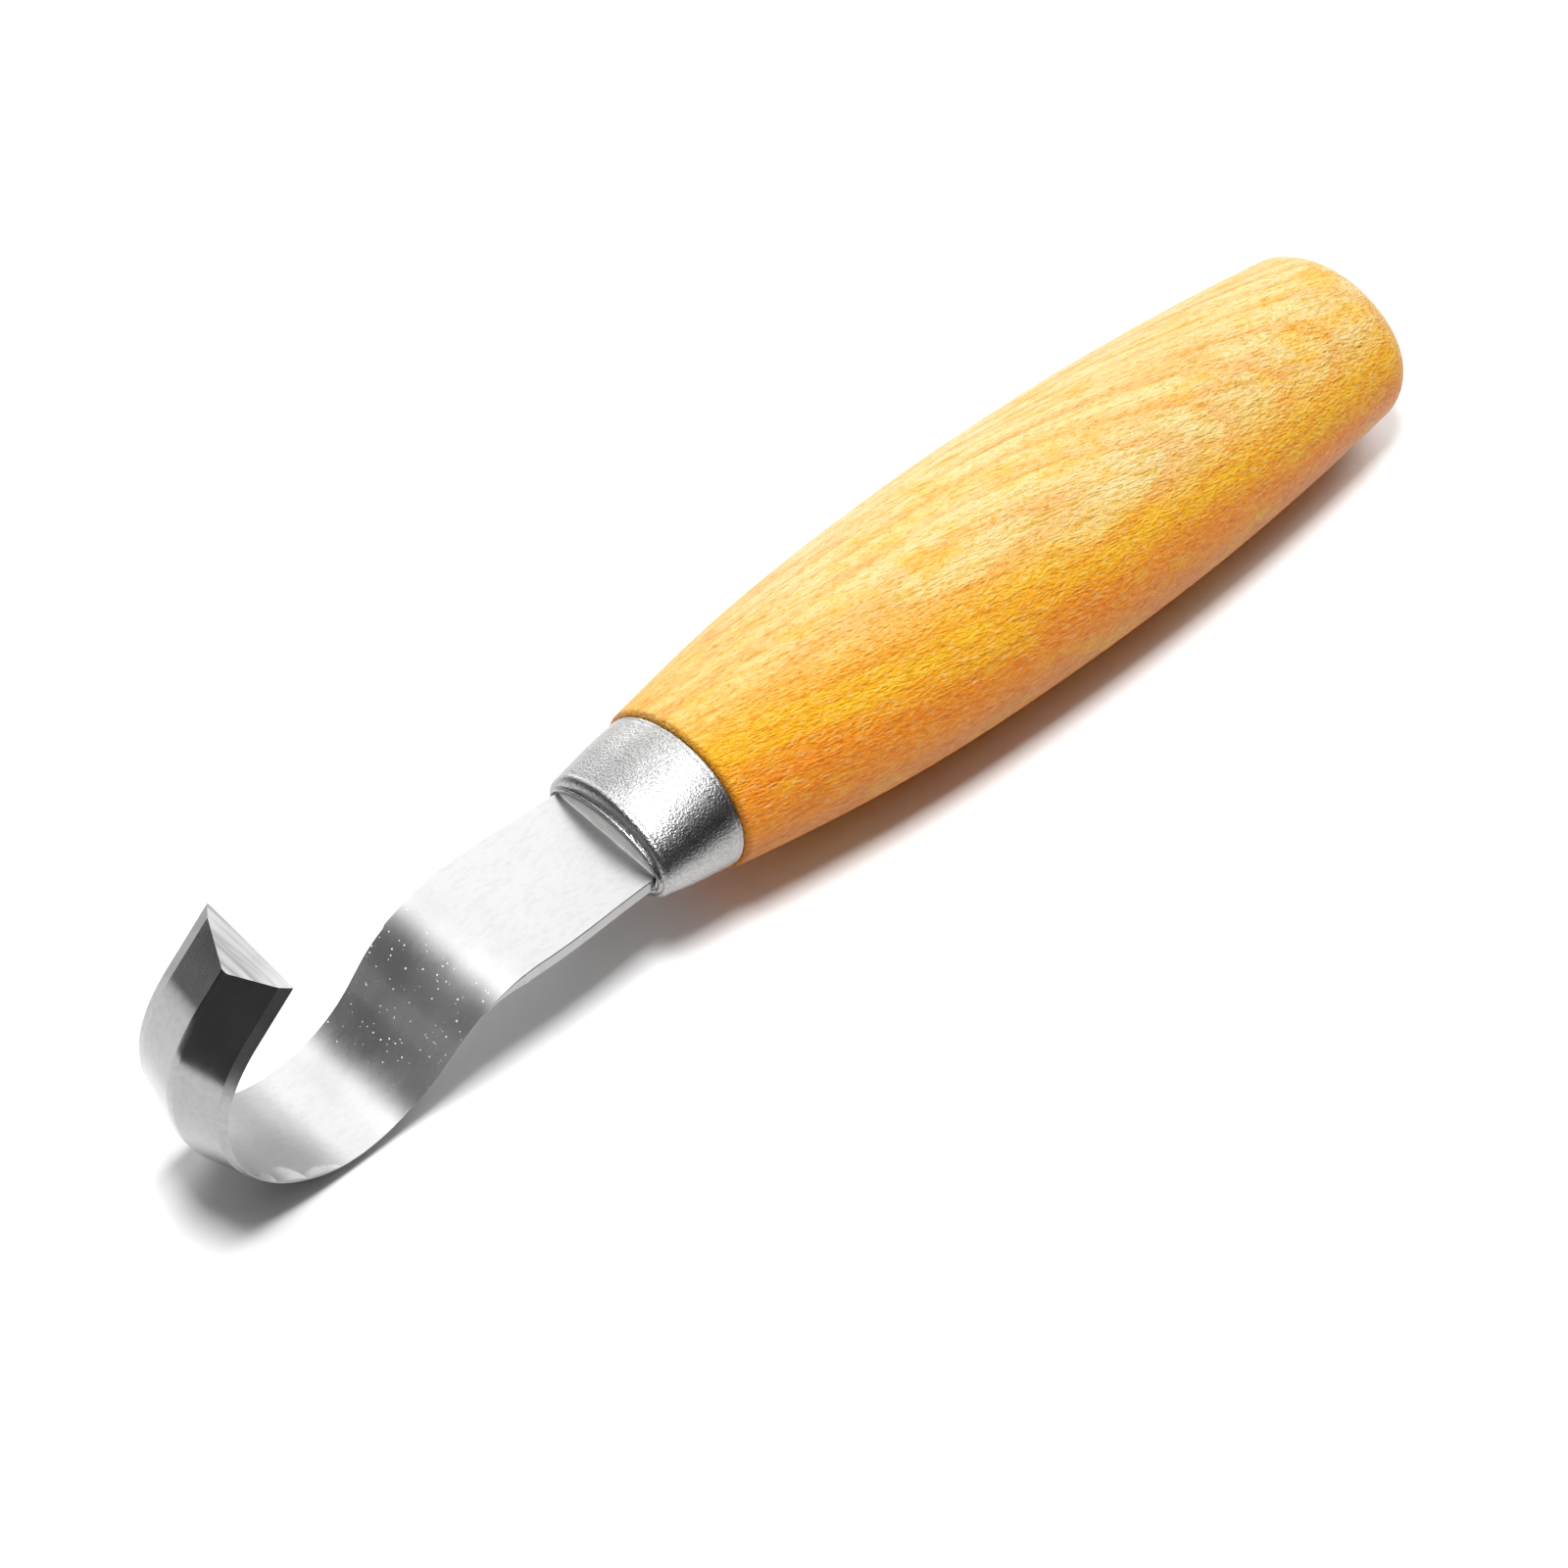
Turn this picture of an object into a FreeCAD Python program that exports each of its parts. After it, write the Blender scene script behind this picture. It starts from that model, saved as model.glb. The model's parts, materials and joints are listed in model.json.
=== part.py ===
import FreeCAD, Part
import math
import os

import Sketcher

# A hook knife for carving bowls and spoons, made of four pieces: a strip steel blade
# curled into a hook, with a stick tang; a drawn steel ferrule; an oval birch handle; and
# the cured adhesive that fills the handle's bore round the tang and the ferrule's mouth.
#
# Every piece is drawn in the knife's own frame, in millimetres: the origin is the centre
# of the ferrule's mouth, +X runs out along the blade, +Y is the knife's left side and +Z
# is the side that the hook curls to. The last step lays the finished knife down on the
# belly of its handle and the bend of its hook: the frame of the files has its origin on
# the table, under the middle of the knife's box.

Vector = FreeCAD.Vector

DIMENSIONS = {
    # handle: half widths at stations given as fractions of its length from the ferrule
    "handle_length": 96.7,
    "half_width_front": 9.4,
    "half_width_neck": 11.5,
    "half_width_swell": 12.95,
    "half_width_belly": 13.17,
    "half_width_waist": 12.87,
    "half_width_rear": 11.45,
    "half_width_butt": 9.8,
    "station_neck": 0.15,
    "station_swell": 0.35,
    "station_belly": 0.50,
    "station_waist": 0.65,
    "station_rear": 0.85,
    "handle_flatness": 0.80,
    "butt_rounding": 4.4,
    "shoulder_rounding": 0.5,
    "tenon_length": 5.2,
    "bore_diameter": 7.6,
    "bore_depth": 58.0,
    # ferrule: half width and half height at its rear rim, its front and its mouth
    "ferrule_length": 9.7,
    "ferrule_band": 0.8,
    "ferrule_rear_half_width": 9.0,
    "ferrule_rear_half_height": 7.05,
    "ferrule_front_half_width": 7.95,
    "ferrule_front_half_height": 4.65,
    "ferrule_sheet": 0.6,
    "ferrule_rounding": 0.85,
    "mouth_half_width": 6.98,
    "mouth_half_height": 3.0,
    "mouth_recess": 0.3,
    # blade: strip thickness, widths along the strip and the places that they apply to
    "strip_thickness": 1.72,
    "width_at_mouth": 13.3,
    "width_at_bulge": 14.0,
    "width_at_corner": 13.45,
    "width_in_hook": 12.1,
    "width_at_tip": 11.5,
    "place_of_bulge": 12.5,
    "place_of_bevel_start": 17.1,
    "place_of_corner": 22.3,
    "place_of_hook": 36.0,
    # blade: the runs and bends of its inner face, from the mouth to the tip
    "root_run": 14.9,
    "dip_radius": 11.7,
    "dip_turn": 57.8,
    "slope_run": 2.3,
    "bottom_radius": 11.5,
    "bottom_turn": 82.9,
    "side_radius": 24.7,
    "side_turn": 56.4,
    "crown_radius": 13.6,
    "crown_turn": 43.1,
    "tip_run": 7.35,
    # blade: the ground section and the slanted end
    "edge_land": 0.03,
    "edge_bevel_width": 1.0,
    "edge_bevel_height": 0.5,
    "ridge_half_width": 0.4,
    "tip_slant": 2.8,
    "tip_skew": 0.62,
    # tang: the shouldered stick that the handle hides
    "shoulder_depth": 3.2,
    "shoulder_corner": 1.6,
    "tang_width": 6.6,
    "tang_end_width": 4.6,
    "tang_length": 54.0,
}

# the blade is lofted through sections about this far apart
STATION_SPACING = 2.4
# a bend that turns less than this, in radians, is taken as straight
STRAIGHT = 1e-9

# the knife is tilted between these angles, in degrees, until handle and hook rest level
TILT_LIMITS = (-6.0, 6.0)
TILT_STEPS = 24
LEVEL_TOLERANCE = 0.0005

# what the finished shapes are held to: edges lie flat across the knife to this many
# millimetres, the bore's volume is right to this share, and the cup keeps less than this
# share of the solid that it is hollowed from
FLAT_TOLERANCE = 0.01
BORE_TOLERANCE = 0.01
CUP_SHARE = 0.3

# sizes that sketches start from before their constraints set them
ROUGH_HALF_WIDTH = 9.0
ROUGH_HALF_HEIGHT = 7.0
ROUGH_DIAMETER = 8.0


def make_sheet(doc):
    """Write the driving dimensions into a spreadsheet, one alias to a row."""
    sheet = doc.addObject("Spreadsheet::Sheet", "Sizes")
    for row, (alias, value) in enumerate(DIMENSIONS.items(), start=1):
        sheet.set("A%d" % row, alias)
        sheet.set("B%d" % row, str(value))
        sheet.setAlias("B%d" % row, alias)
    doc.recompute()
    return sheet


def origin_plane(body, role):
    """Find one of a body's own origin planes by its role."""
    return next(item for item in body.Origin.OriginFeatures if item.Role == role)


def cross_sketch(body, name, along):
    """Start a sketch across the knife, at a distance along it given as an expression."""
    sketch = body.newObject("Sketcher::SketchObject", name)
    sketch.AttachmentSupport = [(origin_plane(body, "YZ_Plane"), "")]
    sketch.MapMode = "FlatFace"
    sketch.setExpression("AttachmentOffset.Base.z", along)
    return sketch


def ellipse_sketch(body, name, along, half_width, half_height):
    """Draw an ellipse across the knife, wider than it is high, centred on its axis."""
    sketch = cross_sketch(body, name, along)
    right, top = Vector(ROUGH_HALF_WIDTH, 0, 0), Vector(0, ROUGH_HALF_HEIGHT, 0)
    ring = sketch.addGeometry(Part.Ellipse(right, top, Vector(0, 0, 0)))
    sketch.exposeInternalGeometry(ring)
    wide_axis, high_axis = ring + 1, ring + 2
    sketch.addConstraint(Sketcher.Constraint("Coincident", ring, 3, -1, 1))
    sketch.addConstraint(Sketcher.Constraint("Horizontal", wide_axis))
    for axis, half_size, rough in (
        (wide_axis, half_width, ROUGH_HALF_WIDTH),
        (high_axis, half_height, ROUGH_HALF_HEIGHT),
    ):
        size = sketch.addConstraint(Sketcher.Constraint("Distance", axis, 2 * rough))
        sketch.setExpression("Constraints[%d]" % size, "2 * (%s)" % half_size)
    return sketch


def circle_sketch(body, name, along, diameter):
    """Draw a circle across the knife, centred on its axis."""
    sketch = cross_sketch(body, name, along)
    ring = sketch.addGeometry(Part.Circle(Vector(0, 0, 0), Vector(0, 0, 1), ROUGH_DIAMETER / 2))
    sketch.addConstraint(Sketcher.Constraint("Coincident", ring, 3, -1, 1))
    size = sketch.addConstraint(Sketcher.Constraint("Diameter", ring, ROUGH_DIAMETER))
    sketch.setExpression("Constraints[%d]" % size, diameter)
    return sketch


def loft(body, kind, name, sketches, ruled):
    """Join sketches across the knife into one solid stretch, added or taken away."""
    feature = body.newObject("PartDesign::" + kind, name)
    feature.Profile = sketches[0]
    feature.Sections = sketches[1:]
    feature.Ruled = ruled
    body.Document.recompute()
    return feature


def round_edge(body, name, feature, place, radius):
    """Round the outermost edge of a feature that lies flat across the knife at a place."""

    def lies_flat(box):
        return max(abs(box.XMin - place), abs(box.XMax - place)) < FLAT_TOLERANCE

    rims = [
        (edge.BoundBox.YLength, "Edge%d" % number)
        for number, edge in enumerate(feature.Shape.Edges, start=1)
        if lies_flat(edge.BoundBox)
    ]
    fillet = body.newObject("PartDesign::Fillet", name)
    fillet.Base = (feature, [max(rims)[1]])
    fillet.setExpression("Radius", radius)
    body.Document.recompute()
    return fillet


def extrude(body, kind, name, sketch, length, reversed_way=False):
    """Pad or pocket a sketch to a length given as an expression."""
    feature = body.newObject("PartDesign::" + kind, name)
    feature.Profile = sketch
    feature.Reversed = reversed_way
    feature.setExpression("Length", length)
    body.Document.recompute()
    return feature


def between(rear, front, place):
    """Give the expression for a ferrule wall's half size at a place along its taper."""
    taper = "(Sizes.ferrule_length - Sizes.ferrule_sheet)"
    return "(%s) + ((%s) - (%s)) * (Sizes.ferrule_length + (%s)) / %s" % (rear, front, rear, place, taper)


# half sizes of the space inside the ferrule, at its rear rim and behind its front wall
CAVITY_REAR = (
    "Sizes.ferrule_rear_half_width - Sizes.ferrule_sheet",
    "Sizes.ferrule_rear_half_height - Sizes.ferrule_sheet",
)
CAVITY_FRONT = (
    "Sizes.ferrule_front_half_width - Sizes.ferrule_sheet",
    "Sizes.ferrule_front_half_height - Sizes.ferrule_sheet",
)
MOUTH = ("Sizes.mouth_half_width", "Sizes.mouth_half_height")
NOSE = "Sizes.ferrule_rounding"
REAR_RIM = "-Sizes.ferrule_length"
FRONT_WALL = "-Sizes.ferrule_sheet"
TENON_FACE = "-(Sizes.ferrule_length - Sizes.tenon_length)"
CAVITY_AT_TENON = (
    between(CAVITY_REAR[0], CAVITY_FRONT[0], TENON_FACE),
    between(CAVITY_REAR[1], CAVITY_FRONT[1], TENON_FACE),
)


def make_handle(doc, size):
    """Loft the oval barrel, round its ends, add the tenon and drill the tang's bore."""
    body = doc.addObject("PartDesign::Body", "Handle")
    body.Label = "handle"
    barrel_sketches = []
    for name, fraction in (
        ("front", "0"),
        ("neck", "Sizes.station_neck"),
        ("swell", "Sizes.station_swell"),
        ("belly", "Sizes.station_belly"),
        ("waist", "Sizes.station_waist"),
        ("rear", "Sizes.station_rear"),
        ("butt", "1"),
    ):
        along = "-(Sizes.ferrule_length + %s * Sizes.handle_length)" % fraction
        half_width = "Sizes.half_width_" + name
        half_height = half_width + " * Sizes.handle_flatness"
        barrel_sketches.append(ellipse_sketch(body, "Handle_" + name, along, half_width, half_height))
    barrel = loft(body, "AdditiveLoft", "Barrel", barrel_sketches, False)
    butt_place = -(size("ferrule_length") + size("handle_length"))
    butt = round_edge(body, "Butt_round", barrel, butt_place, "Sizes.butt_rounding")
    round_edge(body, "Shoulder_round", butt, -size("ferrule_length"), "Sizes.shoulder_rounding")

    tenon_root = ellipse_sketch(body, "Tenon_root", REAR_RIM, *CAVITY_REAR)
    tenon_face = ellipse_sketch(body, "Tenon_face", TENON_FACE, *CAVITY_AT_TENON)
    tenon = loft(body, "AdditiveLoft", "Tenon", [tenon_root, tenon_face], True)

    bore_mouth = circle_sketch(body, "Bore_mouth", TENON_FACE, "Sizes.bore_diameter")
    bore = extrude(body, "Pocket", "Bore", bore_mouth, "Sizes.bore_depth")
    wanted = math.pi / 4 * size("bore_diameter") ** 2 * size("bore_depth")
    removed = tenon.Shape.Volume - bore.Shape.Volume
    if abs(removed - wanted) > BORE_TOLERANCE * wanted:
        raise RuntimeError("the bore took %.1f mm3 from the handle, not %.1f" % (removed, wanted))
    return body


def make_ferrule(doc):
    """Draw the tapered oval cup, hollow it to sheet thickness and open its mouth."""
    body = doc.addObject("PartDesign::Body", "Ferrule")
    body.Label = "ferrule"
    rear = ("Sizes.ferrule_rear_half_width", "Sizes.ferrule_rear_half_height")
    front = ("Sizes.ferrule_front_half_width", "Sizes.ferrule_front_half_height")
    band_end = REAR_RIM + " + Sizes.ferrule_band"
    rear_rim = ellipse_sketch(body, "Ferrule_rear", REAR_RIM, *rear)
    band_rim = ellipse_sketch(body, "Ferrule_band", band_end, *rear)
    front_rim = ellipse_sketch(body, "Ferrule_front", "-" + NOSE, *front)
    loft(body, "AdditiveLoft", "Ferrule_outside", [rear_rim, band_rim, front_rim], True)
    nose_sketches = []
    for name, angle in (("start", "0 deg"), ("half", "45 deg"), ("end", "90 deg")):
        along = "-%s * (1 - sin(%s))" % (NOSE, angle)
        narrowed = ["%s - %s * (1 - cos(%s))" % (half, NOSE, angle) for half in front]
        nose_sketches.append(ellipse_sketch(body, "Nose_" + name, along, *narrowed))
    outside = loft(body, "AdditiveLoft", "Nose", nose_sketches, False)

    cavity_rear = ellipse_sketch(body, "Cavity_rear", REAR_RIM, *CAVITY_REAR)
    cavity_front = ellipse_sketch(body, "Cavity_front", FRONT_WALL, *CAVITY_FRONT)
    loft(body, "SubtractiveLoft", "Cavity", [cavity_rear, cavity_front], True)
    mouth_rim = ellipse_sketch(body, "Mouth_rim", "0", *MOUTH)
    cup = extrude(body, "Pocket", "Mouth", mouth_rim, "2 * Sizes.ferrule_sheet")
    if not 0 < cup.Shape.Volume < CUP_SHARE * outside.Shape.Volume:
        raise RuntimeError("the ferrule was not hollowed to a thin cup")
    return body


def make_tang(doc):
    """Pad the plan of the tang and its shoulders to the strip's thickness."""
    body = doc.addObject("PartDesign::Body", "Tang")
    sketch = body.newObject("Sketcher::SketchObject", "Tang_plan")
    sketch.AttachmentSupport = [(origin_plane(body, "XY_Plane"), "")]
    sketch.MapMode = "FlatFace"
    corner = "-(Sizes.shoulder_depth - Sizes.shoulder_corner)"
    outline = (
        ("0", "Sizes.width_at_mouth / 2"),
        (corner, "Sizes.width_at_mouth / 2"),
        ("-Sizes.shoulder_depth", "Sizes.width_at_mouth / 2 - Sizes.shoulder_corner"),
        ("-Sizes.shoulder_depth", "Sizes.tang_width / 2"),
        ("-Sizes.tang_length", "Sizes.tang_end_width / 2"),
        ("-Sizes.tang_length", "-Sizes.tang_end_width / 2"),
        ("-Sizes.shoulder_depth", "-Sizes.tang_width / 2"),
        ("-Sizes.shoulder_depth", "-(Sizes.width_at_mouth / 2 - Sizes.shoulder_corner)"),
        (corner, "-Sizes.width_at_mouth / 2"),
        ("0", "-Sizes.width_at_mouth / 2"),
    )
    near_side = ((0, 6), (-2, 6), (-3, 5), (-3, 3), (-50, 2))
    rough = near_side + tuple((along, -across) for along, across in reversed(near_side))
    count = len(outline)
    for index in range(count):
        start = Vector(*rough[index], 0)
        end = Vector(*rough[(index + 1) % count], 0)
        sketch.addGeometry(Part.LineSegment(start, end))
    for index in range(count):
        sketch.addConstraint(Sketcher.Constraint("Coincident", index, 2, (index + 1) % count, 1))
    for index, places in enumerate(outline):
        for kind, place, guess in zip(("DistanceX", "DistanceY"), places, rough[index]):
            held = sketch.addConstraint(Sketcher.Constraint(kind, -1, 1, index, 1, float(guess)))
            sketch.setExpression("Constraints[%d]" % held, place)
    pad = extrude(body, "Pad", "Tang_pad", sketch, "Sizes.strip_thickness")
    pad.Midplane = True
    doc.recompute()
    return body


class BladeStrip:
    """The bent strip: its inner face's path, its width and its ground section."""

    def __init__(self, size):
        self.size = size
        self.runs = [
            (size("root_run"), 0.0),
            self.bend("dip", -1),
            (size("slope_run"), 0.0),
            self.bend("bottom", 1),
            self.bend("side", 1),
            self.bend("crown", 1),
            (size("tip_run"), 0.0),
        ]
        self.length = sum(length for length, turn in self.runs)

    def bend(self, name, way):
        """Give a bend's length along the inner face and its turn, up being positive."""
        turn = math.radians(self.size(name + "_turn"))
        return self.size(name + "_radius") * turn, way * turn

    def path(self, along):
        """Give the inner face's place, forward direction and outward normal."""
        point = Vector(0, 0, self.size("strip_thickness") / 2)
        heading = 0.0
        for length, turn in self.runs:
            part = min(max(along, 0.0), length)
            swing = turn * part / length
            chord = part if abs(swing) < STRAIGHT else part * math.sin(swing / 2) / (swing / 2)
            middle = heading + swing / 2
            point = point + Vector(math.cos(middle), 0, math.sin(middle)) * chord
            heading += swing
            along -= length
        forward = Vector(math.cos(heading), 0, math.sin(heading))
        outward = Vector(math.sin(heading), 0, -math.cos(heading))
        return point, forward, outward

    def width(self, along):
        """Ease the strip's width from one named place to the next."""
        places = [
            (0.0, self.size("width_at_mouth")),
            (self.size("place_of_bulge"), self.size("width_at_bulge")),
            (self.size("place_of_corner"), self.size("width_at_corner")),
            (self.size("place_of_hook"), self.size("width_in_hook")),
            (self.length, self.size("width_at_tip")),
        ]
        for (start, narrow), (end, wide) in zip(places, places[1:]):
            if along <= end:
                share = (along - start) / (end - start)
                return narrow + (wide - narrow) * share * share * (3 - 2 * share)
        return places[-1][1]

    def section(self, along):
        """Draw the strip's closed section: square at the root, ground to two edges later."""
        size = self.size
        thickness = size("strip_thickness")
        start, end = size("place_of_bevel_start"), size("place_of_corner")
        ground = min(max((along - start) / (end - start), 0.0), 1.0)
        edge_depth = thickness + (size("edge_land") - thickness) * ground
        bevel_depth = thickness + (size("edge_bevel_height") - thickness) * ground
        half_width = self.width(along) / 2
        bevel = half_width - size("edge_bevel_width")
        ridge = size("ridge_half_width")
        corners = (
            (half_width, 0.0),
            (half_width, edge_depth),
            (bevel, bevel_depth),
            (ridge, thickness),
            (-ridge, thickness),
            (-bevel, bevel_depth),
            (-half_width, edge_depth),
            (-half_width, 0.0),
        )
        point, _, outward = self.path(along)
        places = [point + Vector(0, across, 0) + outward * depth for across, depth in corners]
        return Part.makePolygon(places + places[:1])

    def stretch(self, start, end, ruled):
        """Loft one stretch of the strip between two places along its inner face."""
        steps = max(1, round((end - start) / STATION_SPACING))
        stations = [start + (end - start) * step / steps for step in range(steps + 1)]
        return Part.makeLoft([self.section(place) for place in stations], True, ruled)

    def end_cutter(self):
        """Make the wedge that slants the tip back from its inner face to its ridge."""
        size = self.size
        point, forward, outward = self.path(self.length)
        past_faces = 3 * size("strip_thickness")
        past_end = 18 * size("strip_thickness")
        past_side = size("width_at_tip")
        skew = size("tip_skew") / size("width_at_tip")
        slant = size("tip_slant") / size("strip_thickness")
        middle = point - forward * (size("tip_skew") / 2)

        def corner(across, depth, ahead):
            back = skew * across + slant * depth
            return middle + Vector(0, across, 0) + outward * depth + forward * (ahead - back)

        faces = []
        for depth in (-past_faces, past_faces):
            ring = [
                corner(-past_side, depth, 0.0),
                corner(past_side, depth, 0.0),
                corner(past_side, depth, past_end),
                corner(-past_side, depth, past_end),
            ]
            faces.append(Part.makePolygon(ring + ring[:1]))
        return Part.makeLoft(faces, True, True)


def make_blade(doc, size, tang):
    """Join the tang to the bent strip and slant the strip's end."""
    strip = BladeStrip(size)
    root = strip.stretch(0.0, size("root_run"), False)
    dip = strip.stretch(size("root_run"), size("place_of_bevel_start"), False)
    grind = strip.stretch(size("place_of_bevel_start"), size("place_of_corner"), True)
    hook = strip.stretch(size("place_of_corner"), strip.length, False)
    shape = tang.Shape.fuse([root, dip, grind, hook]).removeSplitter()
    shape = shape.cut(strip.end_cutter())
    blade = doc.addObject("Part::Feature", "Blade")
    blade.Label = "blade"
    blade.Shape = shape.Solids[0] if len(shape.Solids) == 1 else shape
    return blade


def make_adhesive(doc, tang):
    """Fill the handle's bore and the ferrule's mouth, and cut the tang's place out."""
    cast = doc.addObject("PartDesign::Body", "Adhesive_cast")
    rear = ellipse_sketch(cast, "Plug_rear", TENON_FACE, *CAVITY_AT_TENON)
    front = ellipse_sketch(cast, "Plug_front", FRONT_WALL, *CAVITY_FRONT)
    loft(cast, "AdditiveLoft", "Plug", [rear, front], True)
    mouth_rim = ellipse_sketch(cast, "Mouth_fill_rim", FRONT_WALL, *MOUTH)
    extrude(cast, "Pad", "Mouth_fill", mouth_rim, "Sizes.ferrule_sheet - Sizes.mouth_recess")
    bore_rim = circle_sketch(cast, "Bore_fill_rim", TENON_FACE, "Sizes.bore_diameter")
    extrude(cast, "Pad", "Bore_fill", bore_rim, "Sizes.bore_depth", reversed_way=True)
    adhesive = doc.addObject("Part::Cut", "Adhesive")
    adhesive.Label = "tang_adhesive"
    adhesive.Base = cast
    adhesive.Tool = tang
    doc.recompute()
    return adhesive


def lay_down(handle, blade):
    """Find the placement that lays the knife on its belly and its hook, centred."""
    def tilted(degrees):
        return FreeCAD.Placement(Vector(0, 0, 0), FreeCAD.Rotation(Vector(0, 1, 0), degrees))

    def boxes(degrees):
        turned = [piece.transformed(tilted(degrees).toMatrix()) for piece in (handle, blade)]
        return [piece.optimalBoundingBox(False) for piece in turned]

    low, high = TILT_LIMITS
    for _ in range(TILT_STEPS):
        middle = (low + high) / 2
        handle_box, blade_box = boxes(middle)
        if handle_box.ZMin < blade_box.ZMin:
            low = middle
        else:
            high = middle
        if abs(handle_box.ZMin - blade_box.ZMin) < LEVEL_TOLERANCE:
            break
    handle_box, blade_box = boxes(middle)
    centre = (handle_box.XMin + blade_box.XMax) / 2
    placement = tilted(middle)
    placement.Base = Vector(-centre, 0, -min(handle_box.ZMin, blade_box.ZMin))
    return placement


def check(doc, pieces):
    """Stop if any object failed or any piece is not one sound solid."""
    for item in doc.Objects:
        faults = {"Invalid", "Error"} & set(item.State)
        if faults:
            raise RuntimeError("%s is %s" % (item.Name, ", ".join(sorted(faults))))
    for piece in pieces:
        shape = piece.Shape
        if shape.isNull() or not shape.isValid() or len(shape.Solids) != 1:
            raise RuntimeError("%s is not one valid solid" % piece.Label)


def main():
    doc = FreeCAD.newDocument("hook_knife")
    sheet = make_sheet(doc)

    def size(alias):
        return float(sheet.get(alias))

    handle = make_handle(doc, size)
    ferrule = make_ferrule(doc)
    tang = make_tang(doc)
    blade = make_blade(doc, size, tang)
    adhesive = make_adhesive(doc, tang)
    pieces = [handle, ferrule, blade, adhesive]

    rest = lay_down(handle.Shape, blade.Shape)
    for piece in pieces:
        piece.Placement = rest
    doc.recompute()
    check(doc, pieces)

    os.makedirs("parts", exist_ok=True)
    for piece in pieces:
        piece.Shape.exportStep("parts/%s.step" % piece.Label)
        box = piece.Shape.optimalBoundingBox(False)
        print(
            "%-14s %8.1f mm3  x %.2f..%.2f  y %.2f..%.2f  z %.2f..%.2f"
            % (piece.Label, piece.Shape.Volume, box.XMin, box.XMax, box.YMin, box.YMax, box.ZMin, box.ZMax)
        )
    print("rest tilt %.3f deg, ferrule mouth at %s" % (math.degrees(rest.Rotation.Angle), rest.Base))


main()
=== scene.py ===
import json
import math

import bpy
import numpy as np
from mathutils import Matrix, Vector, noise


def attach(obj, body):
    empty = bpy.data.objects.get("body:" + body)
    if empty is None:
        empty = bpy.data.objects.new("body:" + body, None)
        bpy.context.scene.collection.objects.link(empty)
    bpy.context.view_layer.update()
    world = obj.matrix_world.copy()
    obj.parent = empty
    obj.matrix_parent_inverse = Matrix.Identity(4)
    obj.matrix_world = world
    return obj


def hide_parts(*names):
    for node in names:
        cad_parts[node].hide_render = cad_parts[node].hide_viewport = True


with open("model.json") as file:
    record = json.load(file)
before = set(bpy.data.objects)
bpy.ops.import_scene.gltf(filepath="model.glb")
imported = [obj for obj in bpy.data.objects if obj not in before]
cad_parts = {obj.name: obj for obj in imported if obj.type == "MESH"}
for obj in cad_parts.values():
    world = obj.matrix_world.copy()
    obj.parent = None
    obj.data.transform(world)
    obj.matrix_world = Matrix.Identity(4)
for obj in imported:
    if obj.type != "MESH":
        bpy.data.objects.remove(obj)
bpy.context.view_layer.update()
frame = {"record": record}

# The knife's own frame, in millimetres: the origin is the centre of the ferrule's mouth,
# +X runs out along the blade, +Y is its left side and +Z the side that the hook curls to.
MM = 0.001

# handle: its length behind the ferrule, its half width at shares of that length,
# and its height as a share of its width
HANDLE_LENGTH = 96.7
HANDLE_STATIONS = (
    (0.0, 9.4),
    (0.15, 11.5),
    (0.35, 12.95),
    (0.50, 13.17),
    (0.65, 12.87),
    (0.85, 11.45),
    (1.0, 9.8),
)
HANDLE_FLATNESS = 0.80
BUTT_ROUNDING = 4.4
SHOULDER_ROUNDING = 0.55
SHOULDER_SET_BACK = 0.25
SHOULDER_STEP = 0.15
FRONT_SHARE = 0.88
CORE_SHARE = 0.02
FRONT_RINGS = 8
SHOULDER_RINGS = 9
HANDLE_RINGS = 250
BUTT_RINGS = 26
END_RINGS = 14
HANDLE_SIDES = 240

# what sanding leaves: height in millimetres, waves per millimetre along and across the handle,
# then the slant of the fibres and a shift that keeps them apart from the flats
SANDED_FLATS = (0.045, 0.05, 0.14)
RAISED_FIBRES = (0.012, 0.35, 1.5)
FIBRE_SLOPE = 0.21
FIBRE_SHIFT = 7.0

# ferrule: (half width, half height) of its ovals, and lengths along it
FERRULE_LENGTH = 9.7
FERRULE_REAR = (9.0, 7.05)
FERRULE_SHOULDER = (7.98, 4.8)
NOSE_FOOT = (7.46, 3.5)
MOUTH_RIM = (6.98, 3.0)
NOSE_LENGTH = 1.25
LIP_BEAD = 0.2
LIP_SET_BACK = 0.36
LIP_DEPTH = 1.0
REAR_GAP = 0.06
REAR_DEPTH = 1.0
SHEET_INSIDE = 0.5
SHEET_AT_REAR = 0.45
REAR_ROUNDING = 0.12
BAND_LENGTH = 0.38
GROOVE = ((0.0, 0.0), (0.05, 0.03), (0.12, 0.03), (0.2, 0.0))
WALL_BULGE = 0.12
REAR_RINGS = 6
WALL_RINGS = 40
NOSE_RINGS = 22
LIP_RINGS = 20
FERRULE_SIDES = 240

# blade: its thickness, (length, turn in radians) of each run and bend from the ferrule's mouth,
# and its width at places along it
THICKNESS = 1.72
ROOT_RUN = 14.9
TIP_RUN = 7.35
BENDS = (
    (ROOT_RUN, 0.0),
    (11.7 * math.radians(57.8), math.radians(-57.8)),
    (2.3, 0.0),
    (11.5 * math.radians(82.9), math.radians(82.9)),
    (24.7 * math.radians(56.4), math.radians(56.4)),
    (13.6 * math.radians(43.1), math.radians(43.1)),
    (TIP_RUN, 0.0),
)
STRIP_LENGTH = sum(length for length, turn in BENDS)
STRIP_WIDTHS = (
    (0.0, 13.3),
    (12.5, 14.0),
    (22.3, 13.45),
    (22.9, 13.15),
    (36.0, 12.1),
    (STRIP_LENGTH, 11.5),
)

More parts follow.
